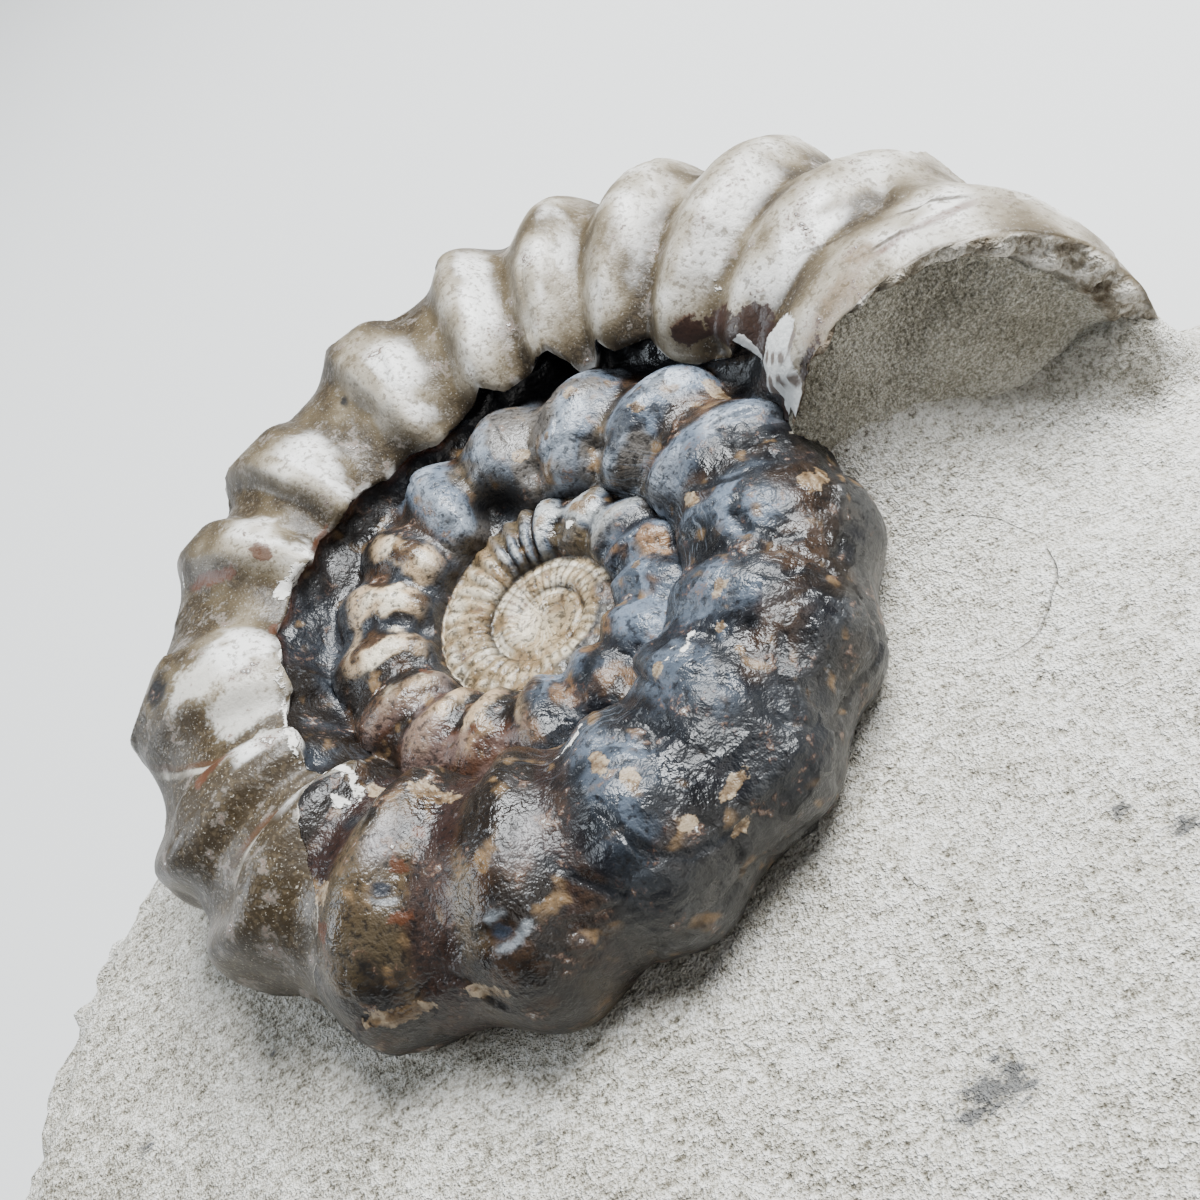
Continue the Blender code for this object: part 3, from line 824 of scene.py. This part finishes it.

    # Stains, pits, chalky breaks, and the calcite by the mouth, with painted highlights round the ringed pits
    # and painted shade in the hollow under the broken edge
    chalk_patch = patch("chalk_and_glint", 0.38, 0.54, 1.1)
    tan_colour = ramp(add(mottling, swing((fine, 0.8))), [
        (0.3, (0.05, 0.028, 0.013)), (0.5, (0.17, 0.112, 0.06)), (0.72, (0.43, 0.345, 0.235)),
    ])
    rust_colour = mix(mottling, (0.022, 0.007, 0.004), (0.12, 0.042, 0.016))
    rings = add(read("rings"), times(ragged, 0.45))
    ring = times(rise(rings, 0.1, 0.34), rise(rings, 0.66, 0.46))
    calcite_colour = mix(fine, (0.42, 0.42, 0.4), (0.78, 0.78, 0.76))
    calcite_colour = mix(patch("veins", 0.2, 0.6, 0.15, 0.85), calcite_colour, (0.09, 0.055, 0.035))
    base = layers(base, [
        (times(patch("dark", 0.25, 0.75, 0.6), 0.9), (0.008, 0.009, 0.011)),
        (times(patch("tan"), 0.85), tan_colour),
        (times(patch("rust", 0.2, 0.5, 1.2), 0.85), rust_colour),
        (times(patch("frame", 0.28, 0.46), 0.95), mix(mottling, (0.008, 0.004, 0.003), (0.05, 0.022, 0.014))),
        # A pale rim round each ringed pit: painted highlight
        (times(ring, rise(mottling, 0.46, 0.6, 0, 0.7)), mix(fine, (0.05, 0.06, 0.07), (0.3, 0.33, 0.36))),
        (rise(rings, 0.55, 0.8, 0, 0.8), (0.016, 0.024, 0.038)),
        (chalk_patch, mix(fine, (0.46, 0.43, 0.38), (0.84, 0.83, 0.8))),
        (patch("calcite", 0.3, 0.36, 0.35), calcite_colour),
        # Painted shade in the hollow under the broken edge
        (rise(read("hollow"), 0.1, 0.5, 0, 0.97), (0.005, 0.005, 0.006)),
    ])

    # The broken edge of the mouth, and the rock in it, with a painted shadow in the groove where the rock
    # starts behind the rim
    into = add(read("into_mouth"), times(ragged, 0.16))
    rough_part = rise(read("into_mouth"), 0.02, 0.16)
    rim_colour = ramp(add(swing((mottling, 2.2)), times(fine, 1)), [
        (0.16, (0.085, 0.062, 0.036)), (0.5, (0.27, 0.235, 0.18)), (0.78, (0.66, 0.62, 0.55)),
    ])
    rusty = mix(add(mottling, 0.05), (0.03, 0.017, 0.01), (0.26, 0.19, 0.115))
    rim_colour = mix(rise(around, 104, 124, 0, 0.85), rim_colour, rusty)
    rock_level = add(swing((blotch, 0.6)), add(times(fine, 0.5), times(grain_and_glints, 0.9)))
    rock_colour = ramp(add(rock_level, rise(read("foot"), 0.05, 0.9, 0, 0.1)), [
        (0.42, (0.135, 0.122, 0.088)), (0.68, (0.3, 0.28, 0.225)), (0.96, (0.56, 0.535, 0.465)),
    ])
    # A dark line in the groove where the rock starts: painted shadow
    groove_and_shadow = rise(made.maths("ABSOLUTE", add(into, -0.97)), 0.085, 0.03)
    groove_and_shadow = times(times(groove_and_shadow, rise(cloud, 0.4, 0.56, 0.2, 0.95)), rise(around, 10, 62, 0.15, 1))
    base = layers(base, [
        (rough_part, rim_colour), (rise(into, 0.9, 1.05), rock_colour), (groove_and_shadow, (0.028, 0.022, 0.014)),
    ])
    made.shade("Base Color", base)
    made.shade("Roughness", layers(rise(mottling, 0.3, 0.7, 0.26, 0.46), [
        (on_cream, rise(cloud, 0.3, 0.7, 0.54, 0.36)), (chalk_patch, (0.7, 0.7, 0.7)),
        (rough_part, (0.92, 0.92, 0.92)),
    ]))
    made.shade("IOR", 1.46)

    # The cream layer stands a little above the bare part, which is rough with flakes.
    fine_share = add(rise(on_cream, 0, 1, 0.4, 0.22), times(rough_part, 1.5))
    flaky = times(rise(on_cream, 0, 1, 1, 0.05), rise(crushed, 0, 1, 0.18, 1))
    flaky = times(flaky, rise(rough_part, 0, 0.3, 1, 0))
    height = times(on_cream, 0.8)
    for part in (times(fine, fine_share), times(flakes, flaky), times(groove_and_shadow, -0.8), times(chalk_patch, 0.3)):
        height = add(height, part)
    made.bump(height, relief_depth)
    return made.material


shell.data.materials.clear()
shell.data.materials.append(mineral_finish())
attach(shell, "root")
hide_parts("ammonite")


# --- The matrix ---
# The piece of Lower Jurassic limestone that the shell was found in. It was sawn flat below, broken at the
# sides and cleaned away round the shell with air and fine grit, which left its top smooth and matt.

BLOCK_OUTLINE = [  # bearing in degrees from the stone's middle, and how far its edge is
    (-165, 0.0568), (-142, 0.0481), (-109, 0.0417), (-79, 0.0442), (-55, 0.0541), (-34, 0.0583),
    (-13, 0.0556), (-3, 0.0535), (3, 0.05), (7, 0.0462), (11, 0.0434), (27, 0.0431), (49, 0.042),
    (76, 0.0437), (103, 0.0445), (125, 0.0453), (144, 0.0437), (162, 0.043), (173, 0.0472), (188, 0.0536),
    (195, 0.0568),
]
BLOCK_SEGMENTS, TOP_RINGS, SIDE_RINGS, BASE_RINGS = 480, 128, 26, 6

bpy.ops.object.select_all(action="DESELECT")
block_rings = TOP_RINGS + SIDE_RINGS + BASE_RINGS
bpy.ops.mesh.primitive_uv_sphere_add(segments=BLOCK_SEGMENTS, ring_count=block_rings, radius=1)
block = bpy.context.object
block.name = "limestone_matrix"
ball = vertex_places(block)
ring = np.rint(np.arccos(np.clip(ball[:, 2], -1, 1)) / math.pi * block_rings)
bearing = np.arctan2(ball[:, 1], ball[:, 0])


def block_reach(bearing):
    degrees = (np.degrees(bearing) + 165) % 360 - 165
    steps = np.array(BLOCK_OUTLINE)
    return np.interp(degrees, steps[:, 0], steps[:, 1])


def pocket_floor(x, y):
    """The lower side of the shell, a little inside its surface."""
    x, y = x - COIL_POLE.x, y - COIL_POLE.y
    turn = np.degrees(np.arctan2(y, x)) % 360
    scale = SHELL_UNIT * EXPANSION ** (-turn / 360)
    across = (np.hypot(x, y) / scale - SECTION_CENTRE) / (HALF_HEIGHT - 0.02)
    bowl = -HALF_BREADTH * scale * np.sqrt(np.clip(1 - across**2, 0, 1))
    inside = BURIED_LEVEL - 0.0012
    floor = np.where(across < -0.75, np.minimum(inside, bowl), bowl)
    return COIL_POLE.z + np.where((across > 1) | (turn < 3), 1, floor)


top_share = np.clip(ring / TOP_RINGS, 0, 1)
side_share = np.clip((ring - TOP_RINGS) / SIDE_RINGS, 0, 1)
base_share = np.clip((ring - TOP_RINGS - SIDE_RINGS) / BASE_RINGS, 0, 1)
reach = block_reach(bearing)
shrink = np.interp(side_share, [0, 0.08, 0.3, 0.6, 0.9, 1], [0.985, 1, 1.015, 1.005, 0.985, 0.965])
out = reach * np.where(side_share > 0, shrink, 0.985 * top_share) * (1 - base_share)
x, y = out * np.cos(bearing), out * np.sin(bearing)
edge_fall = 0.0012 * ease(0.93, 1, top_share)
points = np.stack([x, y, (block_top(x, y) - edge_fall) * (1 - side_share)], -1)
broken = ease(0.94, 1, top_share) * (1 - base_share)
lumps, _ = plates(points, 95)
push = broken * (0.0011 * noise_field(points, 90, 4) + 0.0009 * lumps + 0.0003 * noise_field(points, 700, 3))
points[:, 0] += push * np.cos(bearing)
points[:, 1] += push * np.sin(bearing)
soft = 0.00035 * noise_field(points, 90, 3) + 0.00012 * noise_field(points, 600, 3)
crumbly = np.exp(-np.hypot(x - COIL_POLE.x - 0.04, y - COIL_POLE.y + 0.0035) / 0.0035)
soft += crumbly * 0.0009 * noise_field(points, 500, 3)
chipped = ease(0.9, 1, top_share) * np.abs(noise_field(points, 260, 3)) * 0.0016
points[:, 2] += (side_share < 1) * (1 - side_share) * (soft - chipped)
pocketed = np.minimum(points[:, 2], pocket_floor(points[:, 0], points[:, 1]))
points[:, 2] = np.where(side_share == 0, pocketed, points[:, 2])
points[side_share == 1, 2] = 0
block.data.vertices.foreach_set("co", points.ravel())

# Where the top is darkened: the rock by the mouth, painted shade beside the shell, and a few stains; and a
# painted pool of light to the right of the mouth
across, along, _ = (points - POLE).T
on_top = (side_share == 0) & (ring > 0)
ROCK_X = [0.02, 0.0245, 0.0275, 0.0323, 0.0367, 0.0392, 0.0405, 0.042]
ROCK_FRONT = [0.004, 0.0025, 0.001, -0.0012, -0.0042, -0.0058, -0.004, 0]  # how far forward it reaches
before_rock = np.clip(np.interp(across, ROCK_X, ROCK_FRONT) - along, 0, 1)
near_mouth = np.exp(-before_rock / 0.0013) * between(0.017, 0.0415, across, 0.0015) * (along < 0.004)
turn_near = np.degrees(np.arctan2(along, across)) % 360
off_shell = np.hypot(across, along) - 2 * SHELL_UNIT * EXPANSION ** (-turn_near / 360)
MARKS = [  # where each stain is, and half its length and width
    (-0.0406, -0.0095, 0.0008, 0.0006), (-0.029, -0.0091, 0.0006, 0.0004), (0.0241, -0.0232, 0.001, 0.0005),
    (0.022, -0.021, 0.0006, 0.0004), (0.0101, -0.0304, 0.0022, 0.001), (0.0112, -0.03, 0.0007, 0.0015),
    (0.0088, -0.0309, 0.0012, 0.0006), (-0.0125, -0.0225, 0.0004, 0.0003),
]
MARK_SPREAD = 1.6
off_marks = np.min([
    np.hypot((points[:, 0] - at_x) / half_x, (points[:, 1] - at_y) / half_y)
    for at_x, at_y, half_x, half_y in MARKS
], axis=0)
store(block, "shade", near_mouth)
# Paler towards the right of the mouth: a painted pool of light
store(block, "painted_light_pool", np.exp(-np.hypot(across - 0.04, along + 0.012) / 0.016) * on_top)
store(block, "beside", np.exp(-np.clip(off_shell, 0, 1) / 0.0016) * on_top)
store(block, "marks", np.clip(1 - off_marks / MARK_SPREAD, 0, 1))
store_noise(block, "broad", points, 45)
store_noise(block, "patchy", points, 240)
bpy.ops.object.shade_smooth()


def limestone_finish():
    """Pale, fine-grained limestone with a sugary surface and scattered dark specks."""
    made = Finish("limestone")
    add, times, swing, rise, mix, read = made.add, made.times, made.swing, made.rise, made.mix, made.read
    broad, patchy, marks = read("broad"), read("patchy"), read("marks")
    grain, sand = made.grain(1700, 3, 0.7), made.grain(5600, 1, 0.7)
    brushed = made.grain(900, 2, 0.6, made.mapped(turn=(0, 0, 0.5), scale=(1, 3.2, 1)))
    level = swing((grain, 1.5), (sand, 1.5), (brushed, 1), (patchy, 0.45), (broad, 0.35))
    # The painted pool of light makes the stone paler to the right of the mouth
    colour = made.ramp(add(level, times(read("painted_light_pool"), 0.36)), [
        (-0.52, (0.125, 0.11, 0.08)), (-0.2, (0.345, 0.32, 0.262)), (0.02, (0.53, 0.502, 0.436)),
        (0.22, (0.67, 0.642, 0.58)), (0.5, (0.84, 0.822, 0.775)),
    ])
    specks = times(rise(grain, 0.37, 0.29), rise(broad, 0.5, 0.62))
    stains = rise(add(marks, swing((grain, 1.3), (brushed, 1.6))), 0.25, 0.75)
    stains = times(stains, rise(marks, 0, 0.3))
    rock_grain = rise(add(times(grain, 0.6), times(sand, 0.4)), 0.36, 0.66)
    rock = rise(add(read("shade"), swing((patchy, 0.5))), 0.2, 1, 0, 0.8)
    # Darker in a band beside the shell: painted shade
    painted_contact_shade = rise(add(read("beside"), swing((patchy, 0.7))), 0.45, 1, 0, 0.35)

    # A thin healed crack, round about a third of a circle
    centre_x, centre_y, half_x, half_y = 0.0222, -0.0049, 0.0049, 0.0051
    ring_place = made.mapped((-centre_x / half_x, -centre_y / half_y, 0), scale=(1 / half_x, 1 / half_y, 0))
    wobble = add(made.vectors("LENGTH", ring_place), swing((patchy, 0.45)))
    crack = rise(made.maths("ABSOLUTE", add(wobble, -1)), 0.024, 0.006)
    crack = times(crack, rise(patchy, 0.42, 0.56, 0.1, 0.9))
    crack = times(crack, rise(made.vectors("DOT_PRODUCT", ring_place, (0.95, -0.3, 0)), -0.6, 0.7))
    made.shade("Base Color", made.layers(colour, [
        (times(specks, 0.7), (0.085, 0.072, 0.052)),
        (times(stains, 0.85), (0.045, 0.046, 0.05)),
        (rock, mix(rock_grain, (0.135, 0.122, 0.09), (0.46, 0.43, 0.36))),
        (painted_contact_shade, (0.2, 0.185, 0.15)),
        (times(crack, 0.6), (0.17, 0.15, 0.115)),
    ]))
    made.shade("Roughness", 0.93)
    made.shade("Specular IOR Level", 0.25)
    made.bump(add(add(times(grain, 1.7), times(sand, 1)), times(crack, -0.6)), 0.00032)
    return made.material


block.data.materials.clear()
block.data.materials.append(limestone_finish())
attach(block, "root")
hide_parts("matrix")


# --- Floor and light ---

FLOOR_SIZE = 6
WORLD_LIGHT = 0.12

bpy.ops.object.select_all(action="DESELECT")
bpy.ops.mesh.primitive_plane_add(size=FLOOR_SIZE)
floor = bpy.context.object
floor.name = "floor"
floor_finish = Finish("pale_floor")
floor_finish.shade("Base Color", (0.62, 0.62, 0.61))
floor_finish.shade("Roughness", 0.9)
floor.data.materials.append(floor_finish.material)

LIGHTS = [  # name, where it stands from the coil, size, watts, colour
    ("skylight", Vector((0.25, 0.15, 0.45)), 0.3, 12, (0.95, 0.98, 1)),
    ("window", Vector((-0.52, 0.1, 0.3)), 0.32, 2.8, (0.84, 0.92, 1)),
    ("fill", Vector((0.35, -0.45, 0.4)), 0.45, 1.2, (1, 0.98, 0.95)),
]
for name, offset, size, watts, colour in LIGHTS:
    light = bpy.data.lights.new(name, "AREA")
    light.size, light.energy, light.color = size, watts, colour
    lamp = bpy.data.objects.new(name, light)
    lamp.location = COIL_POLE + offset
    lamp.rotation_euler = offset.to_track_quat("Z", "Y").to_euler()
    bpy.context.scene.collection.objects.link(lamp)
world = bpy.data.worlds.new("studio")
world.use_nodes = True
sky = world.node_tree.nodes["Background"].inputs
sky["Color"].default_value = (0.82, 0.9, 1, 1)
sky["Strength"].default_value = WORLD_LIGHT
bpy.context.scene.world = world
